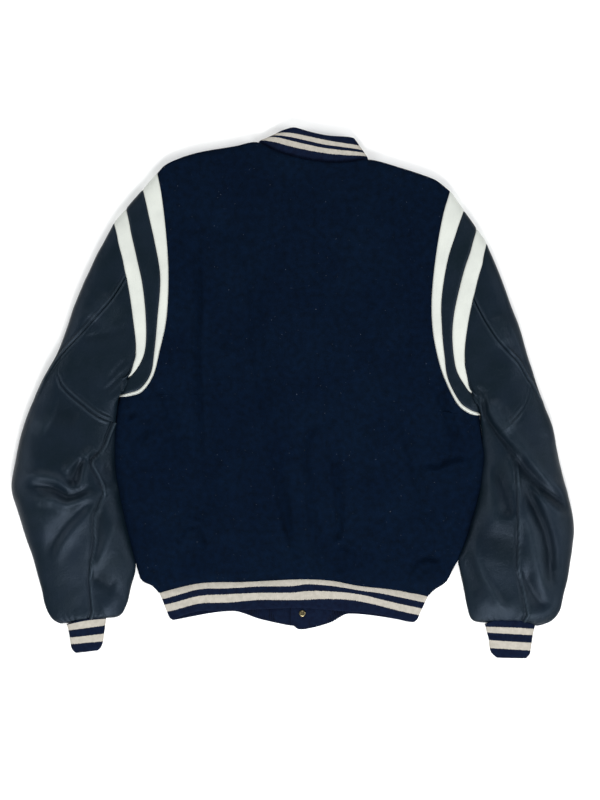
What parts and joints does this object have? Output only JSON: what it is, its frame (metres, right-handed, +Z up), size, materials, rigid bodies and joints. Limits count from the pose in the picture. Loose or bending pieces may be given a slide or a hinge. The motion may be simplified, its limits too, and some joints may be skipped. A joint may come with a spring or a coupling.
{
  "type": "varsity jacket",
  "caption": "Wool-bodied varsity jacket with pieced leather sleeves, striped rib-knit collar, cuffs and waistband and a snap front, laid flat with its back up.",
  "frame": {"origin": "on the floor under the middle of the jacket's outline", "axes": "+Z up from the floor to the back panel, +Y from the waistband to the collar, +X across the back to the wearer's right sleeve"},
  "size_m": [0.843, 0.7937, 0.0398],
  "materials": {
    "wool_melton": "napped melton wool",
    "navy_leather": "soft satin",
    "ivory_leather": "soft satin",
    "rib_knit": "ribbed wool-blend knit with cream stripes",
    "brass": "worn satin"
  },
  "bodies": {
    "root": {"back_panel": "wool_melton", "front_panel_left": "wool_melton", "front_panel_right": "wool_melton", "collar_rib": "rib_knit", "waistband_rib": "rib_knit", "cuff_rib_left": "rib_knit", "cuff_rib_right": "rib_knit", "armhole_stripe_inner_left": "ivory_leather", "armhole_stripe_outer_left": "ivory_leather", "armhole_band_left": "navy_leather", "sleeve_head_left": "navy_leather", "sleeve_elbow_left": "navy_leather", "sleeve_lower_left": "navy_leather", "armhole_stripe_inner_right": "ivory_leather", "armhole_stripe_outer_right": "ivory_leather", "armhole_band_right": "navy_leather", "sleeve_head_right": "navy_leather", "sleeve_elbow_right": "navy_leather", "sleeve_lower_right": "navy_leather", "snap_cap_1": "brass", "snap_post_1": "brass", "snap_cap_2": "brass", "snap_post_2": "brass", "snap_cap_3": "brass", "snap_post_3": "brass", "snap_cap_4": "brass", "snap_post_4": "brass", "snap_cap_5": "brass", "snap_post_5": "brass", "snap_cap_6": "brass", "snap_post_6": "brass", "snap_cap_7": "brass", "snap_post_7": "brass", "snap_cap_8": "brass", "snap_post_8": "brass"}
  },
  "joints": []
}
